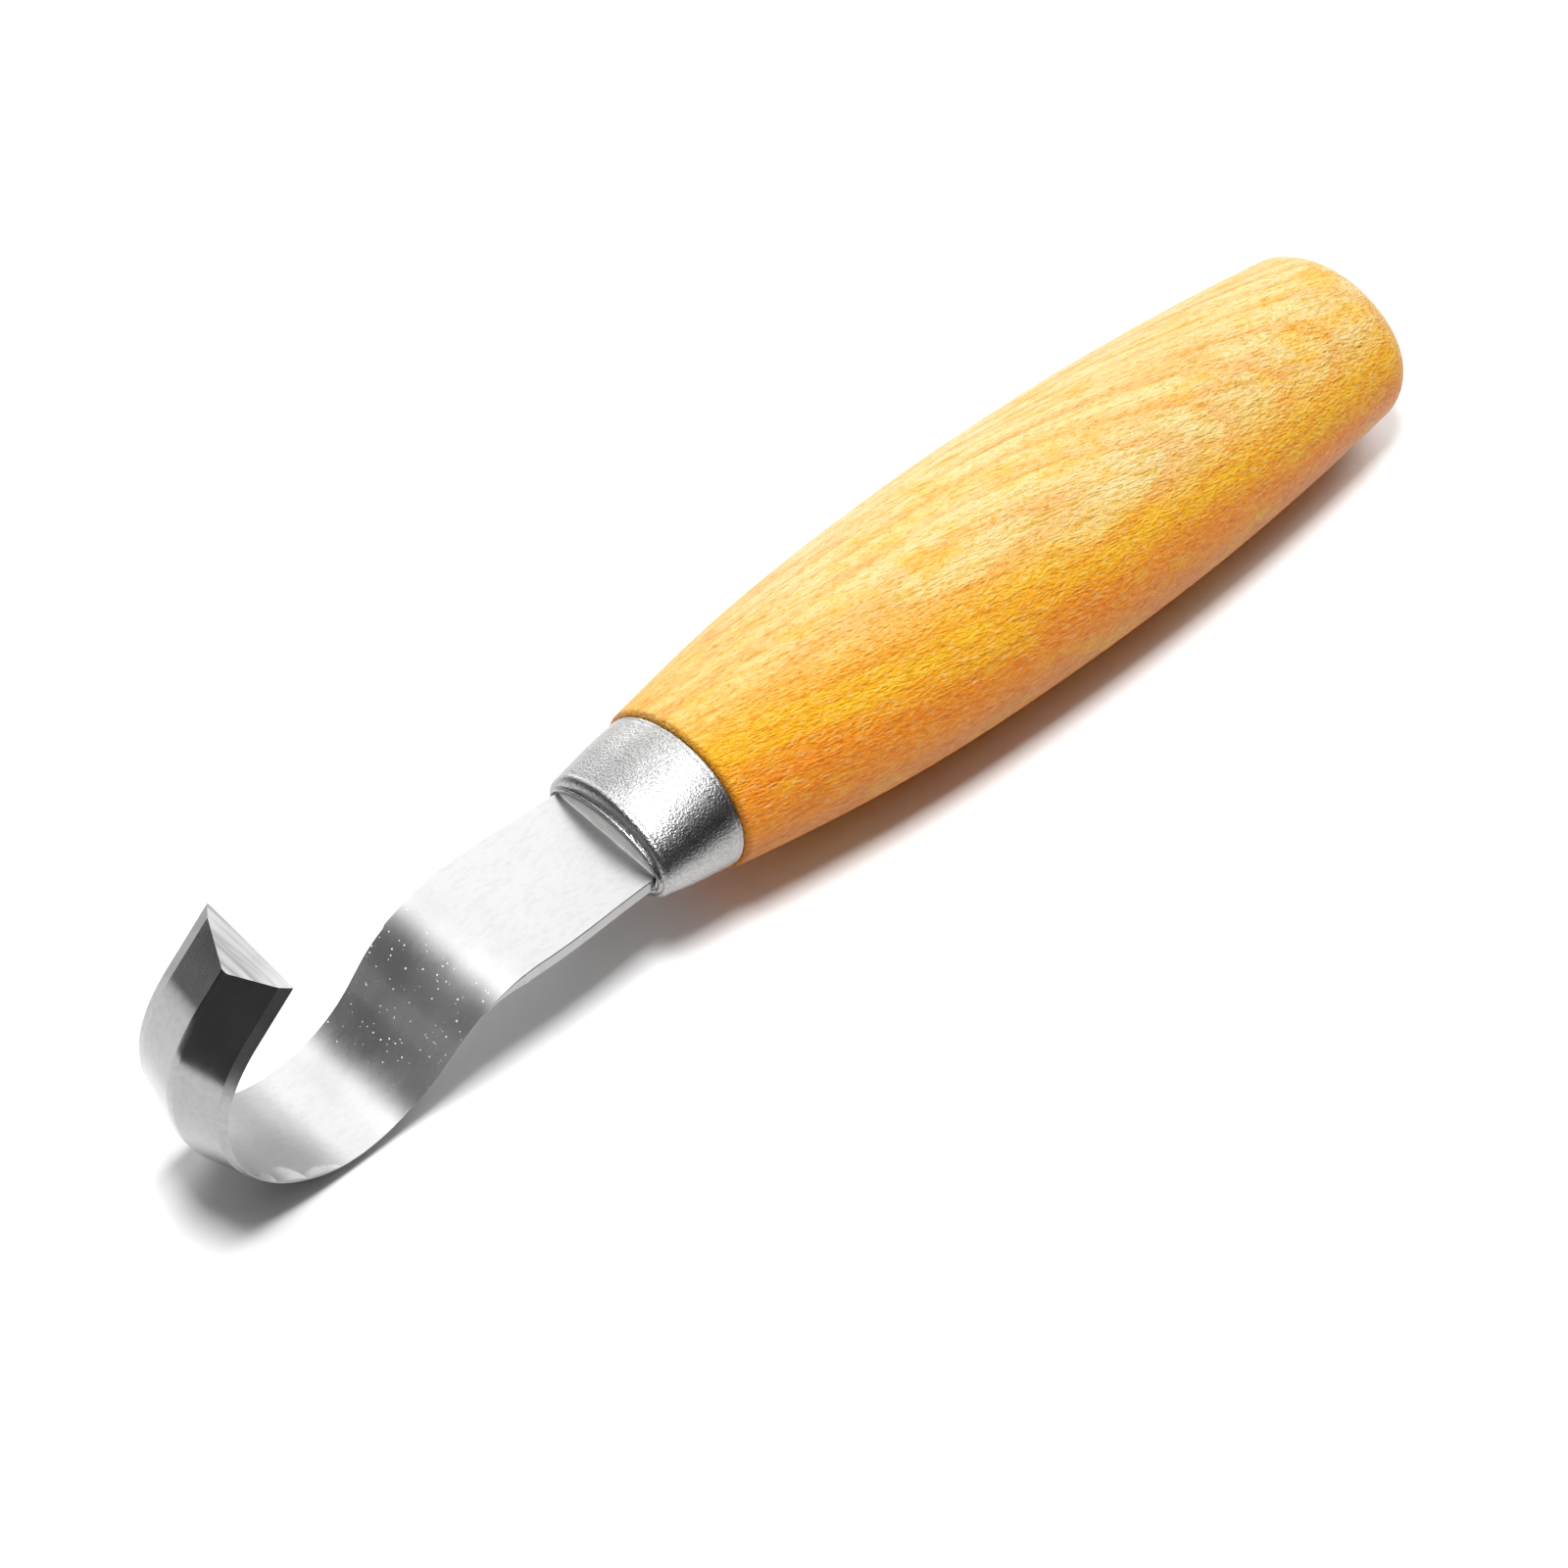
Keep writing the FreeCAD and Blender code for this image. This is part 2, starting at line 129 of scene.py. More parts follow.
# its grinding: where the bevels start and are full, the edge left between the faces,
# the edge bevel's width and the depth it rises to, the softened corners and the ridge
BEVEL_START = 17.1
BEVEL_FULL = 22.3
EDGE_LAND = 0.03
EDGE_BEVEL = (1.0, 0.5)
EDGE_SOFTNESS = 0.07
EDGE_RISE = 0.01
RIDGE_HALF_WIDTH = 0.35
RIDGE_CROWN = 0.015

# its ends: the rounded corners inside the mouth, and how far the tip's end slants back
# over the thickness and over the width
ROOT_CORNER = 0.5
ROOT_GAP = 0.1
TIP_SLANT = 2.8
TIP_SKEW = 0.62

# where the ridge is worn wider: how much, then where the wear starts, is full, fades and is gone
RIDGE_WEAR = (0.75, 44.0, 50.0, 54.0, 64.0)

# facets stoned inside the hook along its near edge: (place along, half length, width),
# how steeply they sink from their inner side, and how steeply they come back to the edge
STONED_FACETS = (
    (50.3, 2.5, 2.3),
    (54.6, 2.4, 1.5),
    (45.6, 2.6, 1.2),
)
STONED_SLOPE = 0.13
STONED_RETURN = 0.4
STONED_LEAST = 0.01

# blade mesh: sections inside the mouth, over the first millimetre, along the strip and in the tip
HIDDEN_SECTIONS = (-1.0, -0.5)
ROOT_SECTIONS = 12
STRIP_SECTIONS = 420
TIP_SECTIONS = 30
INNER_STEPS = 61
BEVEL_STEPS = 9

# filler in the ferrule's mouth: its depth below the lip, its back, its hole and the hole's corners
FILLER_RECESS = 0.22
FILLER_BACK = 1.3
FILLER_HOLE = (6.66, 0.83)
FILLER_CORNER = 0.1
FILLER_SIDES = 160
FILLER_ROWS = (0.0, 0.04, 0.1, 0.2, 0.27, 0.285, 0.3, 0.315, 0.4, 0.5, 0.6, 0.68, 0.76, 0.84, 0.92, 1.0)

# its surface, as shares of the way from blade to lip: (height, start, end) of the climb up the blade,
# the shrinkage crack and the dip at the lip, then its waves' height and how close they are
FILLER_CLIMB = (0.08, 0.0, 0.1)
FILLER_CRACK = (0.06, 0.28, 0.31)
FILLER_DIP = (0.35, 0.78, 0.94)
FILLER_WAVES = (0.05, 0.5, 0.8)
FILLER_SHIFT = 3.0

# edges that turn by more degrees than this are sharp
CREASE = 35.0
BLADE_CREASE = 7.0
FILLER_CREASE = 50.0

# the range that most values of a noise pattern lie in
MIDDLE = (0.3, 0.7)

# birch: the grain runs a little across the handle, and its growth layers slope, bow and drift;
# the gap between rings in millimetres, the part of a ring where it darkens and where it ends
GRAIN_TURN = 12.0
LAYER_SLOPE = 0.2
LAYER_BOW = 0.085
LAYER_DRIFT = 3.2
RING_GAP = 1.5
LATE_WOOD = (0.35, 0.92)
RING_END = (1.0, 0.93)
RING_SHARE = 0.3
# painted sheen: this pale colour is painted on the handle's top and on pale flecks that stand for glints
PAINTED_SHEEN_PALE = (0.7, 0.55, 0.25)
BIRCH_WARM = (0.76, 0.4, 0.006)
BIRCH_DEEP = (0.74, 0.23, 0.003)
BIRCH_AMBER = (0.68, 0.22, 0.003)
FIBRE_TINT = (0.86, 0.7, 0.25)

# painted sheen: the wood turns from deep low on the handle to pale towards the top;
# the slope of the border, how far clouds carry it, and the heights in millimetres
# between which deep turns warm and warm turns pale
PAINTED_SHEEN_SLOPE = -0.42
PAINTED_SHEEN_CLOUDS = 5.0
DEEP_TO_WARM = (15.0, 20.0)
WARM_TO_PAINTED_SHEEN = (19.5, 25.5)

# birch patterns: cycles per metre along and across the grain, detail and roughness
BIRCH_PATTERNS = {
    "drift": (22.0, 70.0, 2.0, 0.5),
    "clouds": (48.0, 130.0, 3.0, 0.55),
    "streaks": (26.0, 620.0, 3.0, 0.6),
    "mottle": (110.0, 260.0, 2.0, 0.6),
    "fibres": (45.0, 1900.0, 2.0, 0.6),
    "flecks": (900.0, 3600.0, 2.0, 0.7),
    "pebbles": (1300.0, 3800.0, 2.0, 0.6),
    "threads": (160.0, 2600.0, 2.0, 0.6),
}

# tints laid on the wood before and after its growth rings: the pattern, the values between which
# the tint comes in, the most of it, its colour and how it is laid on
TINTS_BEFORE = (
    ("streaks", 0.42, 0.75, 0.4, BIRCH_AMBER, "MIX"),
    ("mottle", 0.5, 0.68, 0.6, BIRCH_WARM, "MIX"),
)
TINTS_AFTER = (
    ("fibres", 0.5, 0.68, 0.8, FIBRE_TINT, "MULTIPLY"),
    ("flecks", 0.5, 0.66, 0.9, FIBRE_TINT, "MULTIPLY"),
    # pale flecks: partly the grain's speckle, partly painted glints
    ("flecks", 0.48, 0.32, 0.3, PAINTED_SHEEN_PALE, "MIX"),
)

# painted shade by the ferrule: where it starts and is full, in metres from the handle's front, and how
# much
FERRULE_PAINTED_SHADE = (-0.0009, -0.0001, 0.6)
FERRULE_PAINTED_SHADE_COLOUR = (0.34, 0.11, 0.008)

# the oiled surface: heights in millimetres of the raised grain, its roughness and its gloss
PEBBLE_HEIGHT = 0.42
THREAD_HEIGHT = 0.1
OIL_ROUGHNESS = (0.28, 0.36)
OIL_GLOSS = 0.2

# steel: smudges and grinding lines in cycles per metre, grit in cycles per millimetre, how much
# darker and glossier smudges are and how much darker and rougher lines are, and grit's height
SMUDGES = (90.0, 160.0, 120.0)
SMUDGE_SHADE = 0.93
SMUDGE_GLOSS = 0.07
SATIN_LINES = (900.0, 2400.0, 900.0)
FINE_LINES = (9.0, 1500.0, 1500.0)
CROSS_LINES = (1600.0, 40.0, 1600.0)
LINE_RANGE = (0.45, 0.65)
LINE_COLOUR = 0.45
LINE_ROUGHNESS = 0.1
GRIT_SCALE = 9.0
GRIT_HEIGHT = 0.004

# the blade's steels, in the order of their material slots: name, shade, roughness,
# the grinding lines' scale, height and darkness, and the largest speck of dust
BLADE_STEELS = (
    ("blade_steel", 0.41, 0.35, SATIN_LINES, 0.0012, 0.1, 0.27),
    ("edge_steel", 0.38, 0.32, FINE_LINES, 0.001, 0.15, 0.0),
    ("bevel_steel", 0.36, 0.17, FINE_LINES, 0.001, 0.15, 0.0),
    ("tip_steel", 0.36, 0.3, CROSS_LINES, 0.012, 0.75, 0.0),
    # painted reflection: the stoned facets' steel is painted lighter than the blade's
    ("stoned_steel_painted_bright", 0.5, 0.3, FINE_LINES, 0.001, 0.1, 0.0),
)
EDGE_SLOT, BEVEL_SLOT, TIP_SLOT, STONED_SLOT = range(1, len(BLADE_STEELS))

# fine dust lies in the dip behind the hook: cells per millimetre, how rare large specks are,
# its colour, and where it starts, ends and fades along the row's X, in metres
DUST_CELLS = 2.6
DUST_RARITY = 3.2
DUST_COLOUR = (0.66, 0.66, 0.64)
DUST_START = 0.0445
DUST_END = 0.0545
DUST_FADE = 0.003

# the ferrule's drawn and tumbled skin: scales in cycles per millimetre, heights in millimetres
SKIN_SCALE = 4.4
SKIN_HEIGHT = 0.06
SKIN_RANGE = (0.42, 0.62)
SKIN_SHARE = 0.5
SKIN_SHADE = (0.22, 0.22, 0.22)
WAVE_SCALE = 0.5
WAVE_HEIGHT = 0.012
STAIN_SCALE = 0.25
FERRULE_DULL = (0.38, 0.375, 0.37)
FERRULE_BRIGHT = (0.43, 0.43, 0.43)
FERRULE_ROUGHNESS = (0.27, 0.33)

# the filler's marbling and grain
MARBLE_SCALE = 0.7
MARBLE_TWIST = 0.6
FILLER_DARK = (0.6, 0.6, 0.59)
FILLER_LIGHT = (0.72, 0.72, 0.71)
FILLER_ROUGHNESS = (0.5, 0.7)
FILLER_GRAIN = (6.0, 0.02)

# studio panels: name, direction from the knife, size in metres and brightness
PANEL_DISTANCE = 1.0
PANELS = (
    ("overhead", (0.25, 0.02, 0.97), (0.24, 0.22), 58.0),
    ("over_handle", (-0.55, 0.0, 0.83), (0.75, 0.32), 4.6),
    ("back", (-0.42, -0.52, 0.73), (0.62, 0.38), 3.8),
    ("top", (0.1, 0.2, 0.97), (0.5, 0.55), 1.6),
    ("back_top", (0.05, -0.4, 0.91), (0.66, 0.3), 1.9),
    ("back_low", (-0.15, -0.86, 0.46), (0.6, 0.34), 2.0),
    ("window", (-0.45, -0.87, 0.18), (0.34, 0.32), 5.0),
    ("butt_side", (-0.84, -0.38, 0.36), (0.5, 0.45), 1.9),
    ("front", (0.94, -0.18, 0.24), (1.0, 0.36), 0.26),
)

# the room gives little light of its own, but is pale where it is seen past the floor
ROOM_LIGHT = 0.015
BACKDROP = 0.8

# floor: half its side in metres and its shade
FLOOR_REACH = 3.0
FLOOR_SHADE = 0.86
STUDIO_ROUGHNESS = 0.9

# black card in front of the hook: its distance, its two ends across and its height in metres
DARK_CARD = (0.135, -0.03, 0.3, 0.06)
CARD_SHADE = 0.06

# camera: where it looks, from which way and how far, in degrees and metres
AIM = Vector((-0.00135, 0.0, -0.0005))
AZIMUTH = 125.6
ELEVATION = 50.91
ROLL = 11.12
DISTANCE = 0.7545
LENS_MM = 180.0
SENSOR_MM = 36.0
NEAREST_SEEN = 0.05


def knife_matrix():
    """The knife frame's place in the row, read from the butt's mount."""
    mounts = {mount["name"]: mount for mount in frame["record"]["mounts"]}
    butt = mounts["butt_face"]
    ahead = -Vector(butt["axis"]).normalized()
    side = Vector((0.0, 1.0, 0.0))
    lift = ahead.cross(side)
    mouth = Vector(butt["pos_m"]) + ahead * (HANDLE_LENGTH + FERRULE_LENGTH) * MM
    turn = Matrix((ahead, side, lift)).transposed().to_4x4()
    return Matrix.Translation(mouth) @ turn @ Matrix.Scale(MM, 4)


KNIFE = knife_matrix()
HANDLE_FRONT = (KNIFE @ Vector((-FERRULE_LENGTH, 0.0, 0.0))).x


def mesh_object(name, points, faces, crease=CREASE):
    """Make an object from points in the knife's frame, smooth but for edges sharper than crease."""
    mesh = bpy.data.meshes.new(name)
    mesh.from_pydata([KNIFE @ Vector(point) for point in points], [], faces)
    mesh.validate()
    mesh.polygons.foreach_set("use_smooth", [True] * len(mesh.polygons))
    mesh.set_sharp_from_angle(angle=math.radians(crease))
    piece = bpy.data.objects.new(name, mesh)
    bpy.context.scene.collection.objects.link(piece)
    return piece


def rings_to_faces(ring_count, ring_size, closed=False):
    """Join rings of equal size with quads, ring to ring, and the last to the first if closed."""
    faces = []
    last = ring_count if closed else ring_count - 1
    for ring in range(last):
        here, there = ring * ring_size, (ring + 1) % ring_count * ring_size
        for step in range(ring_size):
            after = (step + 1) % ring_size
            faces.append((here + step, here + after, there + after, there + step))
    return faces


def end_caps(point_count, ring_size):
    """One face over the first ring and one over the last."""
    return [tuple(range(ring_size))[::-1], tuple(range(point_count - ring_size, point_count))]


def ease(start, end, value):
    """0 before start, 1 after end, and a smooth step between."""
    share = min(max((value - start) / (end - start), 0.0), 1.0)
    return share * share * (3 - 2 * share)


def natural_spline(stations):
    """A natural cubic through the stations, as a function of the place along them."""
    places = np.array([place for place, value in stations])
    values = np.array([value for place, value in stations])
    gaps = np.diff(places)
    count = len(places)
    matrix, right = np.eye(count), np.zeros(count)
    for knot in range(1, count - 1):
        before, after = gaps[knot - 1], gaps[knot]
        matrix[knot, knot - 1 : knot + 2] = before, 2 * (before + after), after
        slopes = np.diff(values)[knot - 1 : knot + 1] / gaps[knot - 1 : knot + 1]
        right[knot] = 6 * (slopes[1] - slopes[0])
    bends = np.linalg.solve(matrix, right)

    def value_at(place):
        knot = int(np.clip(np.searchsorted(places, place) - 1, 0, count - 2))
        gap, after = gaps[knot], place - places[knot]
        before = gap - after
        curve = bends[knot] * before**3 + bends[knot + 1] * after**3
        straight_start = values[knot] / gap - bends[knot] * gap / 6
        straight_end = values[knot + 1] / gap - bends[knot + 1] * gap / 6
        return curve / (6 * gap) + straight_start * before + straight_end * after

    return value_at


# ---------------------------------------------------------------- handle


def handle_rings():
    """(place, half width, half height) along the handle, from inside the ferrule to the butt."""
    half_width = natural_spline(HANDLE_STATIONS)
    rings = []

    def add(along, inset):
        width = half_width(along / HANDLE_LENGTH)
        rings.append((-FERRULE_LENGTH - along, width - inset, width * HANDLE_FLATNESS - inset))

    mouth_width = half_width(0.0)
    for share in np.linspace(CORE_SHARE, FRONT_SHARE, FRONT_RINGS):
        place = -FERRULE_LENGTH - SHOULDER_SET_BACK
        rings.append((place, mouth_width * share, mouth_width * HANDLE_FLATNESS * share))
    add(0.0, SHOULDER_ROUNDING + SHOULDER_STEP)
    for angle in np.radians(np.linspace(90, 0, SHOULDER_RINGS)):
        add(SHOULDER_ROUNDING * (1 - math.sin(angle)), SHOULDER_ROUNDING * (1 - math.cos(angle)))
    body_end = HANDLE_LENGTH - BUTT_ROUNDING
    for along in np.linspace(SHOULDER_ROUNDING, body_end, HANDLE_RINGS)[1:]:
        add(along, 0.0)
    for angle in np.radians(np.linspace(0, 90, BUTT_RINGS))[1:]:
        add(body_end + BUTT_ROUNDING * math.sin(angle), BUTT_ROUNDING * (1 - math.cos(angle)))
    end_width, end_height = rings[-1][1:]
    for share in np.linspace(1, CORE_SHARE, END_RINGS)[1:]:
        rings.append((-FERRULE_LENGTH - HANDLE_LENGTH, end_width * share, end_height * share))
    return rings


def sanded_height(x, y, z):
    """The height in millimetres of the sanded surface: wide soft flats and short raised fibres."""
    height, along, across = SANDED_FLATS
    flats = height * noise.noise(Vector((x * along, y * across, z * across)))
    height, along, across = RAISED_FIBRES
    aslant = y + x * FIBRE_SLOPE
    fibres = height * noise.noise(Vector((x * along, aslant * across, z * across + FIBRE_SHIFT)))
    return flats + fibres


def make_handle():
    """The oval birch barrel, with the slight unevenness of hand sanding."""
    angles = np.linspace(0, 2 * math.pi, HANDLE_SIDES, endpoint=False)
    rings = handle_rings()
    points = []
    for along, half_width, half_height in rings:
        for angle in angles:
            y, z = half_width * math.cos(angle), half_height * math.sin(angle)
            swell = 1 + sanded_height(along, y, z) / max(half_width, half_height)
            points.append((along, y * swell, z * swell))
    faces = rings_to_faces(len(rings), HANDLE_SIDES) + end_caps(len(points), HANDLE_SIDES)
    handle = mesh_object("birch_handle", points, faces)
    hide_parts("handle")
    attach(handle, "root")
    return handle


# ---------------------------------------------------------------- ferrule


def ferrule_rings():
    """(place, half width, half height) round the sheet, from inside its rear to inside its mouth."""
    rings = []

    def add(place, oval, outward):
        rings.append((place, oval[0] + outward, oval[1] + outward))

    def between(start, end, share):
        return tuple(first + (last - first) * share for first, last in zip(start, end))

    rear_place = -FERRULE_LENGTH + REAR_GAP
    add(rear_place + REAR_DEPTH, FERRULE_REAR, -SHEET_INSIDE)
    add(rear_place, FERRULE_REAR, -SHEET_AT_REAR)
    for angle in np.radians(np.linspace(0, 90, REAR_RINGS)):
        forward = REAR_ROUNDING * (1 - math.cos(angle))
        add(rear_place + forward, FERRULE_REAR, -REAR_ROUNDING * (1 - math.sin(angle)))
    for along, depth in GROOVE:
        add(rear_place + BAND_LENGTH + along, FERRULE_REAR, -depth)
    wall_start = rear_place + BAND_LENGTH + GROOVE[-1][0]
    for share in np.linspace(0, 1, WALL_RINGS)[1:]:
        place = wall_start + (-NOSE_LENGTH - wall_start) * share
        bulge = WALL_BULGE * math.sin(math.pi * share)
        add(place, between(FERRULE_REAR, FERRULE_SHOULDER, share), bulge)
    for angle in np.radians(np.linspace(0, 90, NOSE_RINGS))[1:]:
        place = -NOSE_LENGTH + (NOSE_LENGTH - LIP_SET_BACK) * math.sin(angle)
        add(place, between(NOSE_FOOT, FERRULE_SHOULDER, math.cos(angle)), 0.0)
    for angle in np.radians(np.linspace(100, -90, LIP_RINGS)):
        add(LIP_BEAD * (math.cos(angle) - 1), MOUTH_RIM, LIP_BEAD * (1 + math.sin(angle)))
    add(-LIP_DEPTH, MOUTH_RIM, 0.0)
    return rings


def make_ferrule():
    """The drawn steel cup: its grooved rear band, bulged wall, rounded nose and rolled lip."""
    angles = np.linspace(0, 2 * math.pi, FERRULE_SIDES, endpoint=False)
    rings = ferrule_rings()
    points = [
        (along, half_width * math.cos(angle), half_height * math.sin(angle))
        for along, half_width, half_height in rings
        for angle in angles
    ]
    faces = rings_to_faces(len(rings), FERRULE_SIDES, closed=True)
    ferrule = mesh_object("ferrule_cup", points, faces)
    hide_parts("ferrule")
    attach(ferrule, "root")
    return ferrule


# ---------------------------------------------------------------- blade


def strip_path(along):
    """The inner face's (x, z) and the outward normal's (x, z) at a place along the strip."""
    x, z = 0.0, THICKNESS / 2
    heading = 0.0
    if along < 0:
        return (along, z), (0.0, -1.0)
    for length, turn in BENDS:
        part = min(max(along, 0.0), length)
        swing = turn * part / length
        chord = part if abs(swing) < 1e-9 else part * math.sin(swing / 2) / (swing / 2)
        x += chord * math.cos(heading + swing / 2)
        z += chord * math.sin(heading + swing / 2)
        heading += swing
        along -= length
    return (x, z), (math.sin(heading), -math.cos(heading))


def strip_width(along):
    """The strip's width, eased from one named place to the next."""
    for (start, from_width), (end, to_width) in zip(STRIP_WIDTHS, STRIP_WIDTHS[1:]):
        if along <= end:
            return from_width + (to_width - from_width) * ease(start, end, along)
    return STRIP_WIDTHS[-1][1]


def ground_share(along):
    """How much of the bevel is ground at a place: 0 on the shank, 1 from the sharpening corner."""
    return min(max((along - BEVEL_START) / (BEVEL_FULL - BEVEL_START), 0.0), 1.0)


def strip_section(along):
    """The section's (across, depth) points: the flat inner face, then the ground outer one."""
    ground = ground_share(along)
    edge_depth = THICKNESS + (EDGE_LAND - THICKNESS) * ground
    bevel_depth = THICKNESS + (EDGE_BEVEL[1] - THICKNESS) * ground
    inside_corner = max(ROOT_CORNER - along - ROOT_GAP, 0.0)
    half_width = strip_width(along) / 2 - ROOT_CORNER + math.sqrt(ROOT_CORNER**2 - inside_corner**2)
    soft = EDGE_SOFTNESS * (1 - ground) + EDGE_LAND / 6 * ground
    wear, start, full, fading, gone = RIDGE_WEAR
    ridge = RIDGE_HALF_WIDTH + wear * ease(start, full, along) * (1 - ease(fading, gone, along))
    bevel = half_width - EDGE_BEVEL[0]
    inner = [((half_width - soft) * share, 0.0) for share in np.linspace(1, -1, INNER_STEPS)]
    far_side = [(-half_width, soft), (-half_width, edge_depth - soft)]
    far = [(-half_width + soft * (1 + 3 * ground), edge_depth + EDGE_RISE * ground)]
    for share in np.linspace(0, 1, BEVEL_STEPS):
        depth = bevel_depth + (THICKNESS - bevel_depth) * share
        far.append((-bevel + (bevel - ridge) * share, depth))
    middle = [(0.0, THICKNESS + RIDGE_CROWN * ground)]
    outer = far_side + far + middle + [(-across, depth) for across, depth in reversed(far)]
    return inner + outer + [(-across, depth) for across, depth in reversed(far_side)]


def stoned(along, across):
    """The depth of the small facets that hand stoning leaves inside the hook, along the near edge."""
    depth = 0.0
    for centre, reach, width in STONED_FACETS:
        round_end = 1 - ((along - centre) / reach) ** 2
        if round_end > 0:
            from_edge = strip_width(along) / 2 - across
            inward = width * math.sqrt(round_end) - from_edge
            depth = max(depth, min(inward * STONED_SLOPE, from_edge * STONED_RETURN))
    return depth


def blade_slot(step, along, section_size):
    """The material slot of the face after a point of a section, or 0 for the plain steel."""
    edge_steps = (INNER_STEPS + 2, section_size - 4)
    across = strip_width(along) * (0.5 - (step + 0.5) / (INNER_STEPS - 1))
    if step in edge_steps and along > BEVEL_START:
        return EDGE_SLOT
    if step >= INNER_STEPS and along > BEVEL_START:
        return BEVEL_SLOT
    if step < INNER_STEPS - 1 and stoned(along, across) > STONED_LEAST:
        return STONED_SLOT
    return 0


def make_blade():
    """The bent, double-bevelled strip with its slanted end."""
    tip_start = STRIP_LENGTH - TIP_RUN
    stations = list(HIDDEN_SECTIONS)
    stations += list(np.linspace(0.0, 1.0, ROOT_SECTIONS))
    stations += list(np.linspace(1.0, tip_start, STRIP_SECTIONS)[1:])
    points = []

    def add(place, across, depth):
        (x, z), (out_x, out_z) = strip_path(place)
        points.append((x + out_x * depth, across, z + out_z * depth))

    for along in stations:
        for across, depth in strip_section(max(along, 0.0)):
            sunk = stoned(along, across) if depth == 0 else 0.0
            add(along, across, depth + sunk)
    for share in np.linspace(0, 1, TIP_SECTIONS)[1:]:
        for across, depth in strip_section(tip_start + TIP_RUN * share):
            back = TIP_SKEW * (0.5 + across / STRIP_WIDTHS[-1][1]) + TIP_SLANT * depth / THICKNESS
            add(tip_start + (TIP_RUN - back) * share, across, depth)
    size = len(strip_section(0.0))
    faces = rings_to_faces(len(points) // size, size) + end_caps(len(points), size)
    blade = mesh_object("hook_blade", points, faces, crease=BLADE_CREASE)
    for polygon in blade.data.polygons:
        station, step = divmod(polygon.index, size)
        along = stations[station] if station < len(stations) else STRIP_LENGTH
        polygon.material_index = blade_slot(step, along, size)
    blade.data.polygons[-1].material_index = TIP_SLOT
    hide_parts("blade")
    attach(blade, "root")
    return blade


# ---------------------------------------------------------------- filler


def blade_side(y, z):
    """The place on the blade's rounded section that is nearest to a place on the mouth's rim."""
    corner = Vector(
        (
            min(max(y, FILLER_CORNER - FILLER_HOLE[0]), FILLER_HOLE[0] - FILLER_CORNER),
            min(max(z, FILLER_CORNER - FILLER_HOLE[1]), FILLER_HOLE[1] - FILLER_CORNER),
        )
    )
    return corner + (Vector((y, z)) - corner).normalized() * FILLER_CORNER


def filler_depth(share, angle, y, z):
    """How far the filler's surface lies behind the lip, at a share of the way from blade to lip."""
    climb, climb_start, climb_end = FILLER_CLIMB
    crack, crack_start, crack_end = FILLER_CRACK
    dip, dip_start, dip_end = FILLER_DIP
    depth = FILLER_RECESS + dip * ease(dip_start, dip_end, share)
    depth -= climb * (1 - ease(climb_start, climb_end, share))
    if crack_start < share < crack_end:
        depth += crack * abs(math.sin(angle))
    height, across, up = FILLER_WAVES
    return depth + height * noise.noise(Vector((y * across, z * up, FILLER_SHIFT)))


def make_filler():
    """The grey filler that closes the ferrule's mouth all round the blade, sunk below the lip."""
    front, back = [], []
    for angle in np.linspace(0, 2 * math.pi, FILLER_SIDES, endpoint=False):
        rim = Vector((MOUTH_RIM[0] * math.cos(angle), MOUTH_RIM[1] * math.sin(angle)))
        inside = blade_side(rim.x, rim.y)
        for share in FILLER_ROWS:
            y, z = inside.lerp(rim, share)
            front.append((-filler_depth(share, angle, y, z), y, z))
            back.append((-FILLER_BACK, y, z))
    rows = len(FILLER_ROWS)
    faces = []
    for column in range(FILLER_SIDES):
        for row in range(rows - 1):
            near, far = column * rows + row, (column + 1) % FILLER_SIDES * rows + row
            faces.append((near, near + 1, far + 1, far))
            faces.append(tuple(len(front) + index for index in (near, far, far + 1, near + 1)))
        for row, turn in ((0, 1), (rows - 1, -1)):
            near, far = column * rows + row, (column + 1) % FILLER_SIDES * rows + row
            faces.append((near, far, len(front) + far, len(front) + near)[::turn])
    filler = mesh_object("mouth_filler", front + back, faces, crease=FILLER_CREASE)
    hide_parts("tang_adhesive")
    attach(filler, "root")
    return filler


# ---------------------------------------------------------------- materials


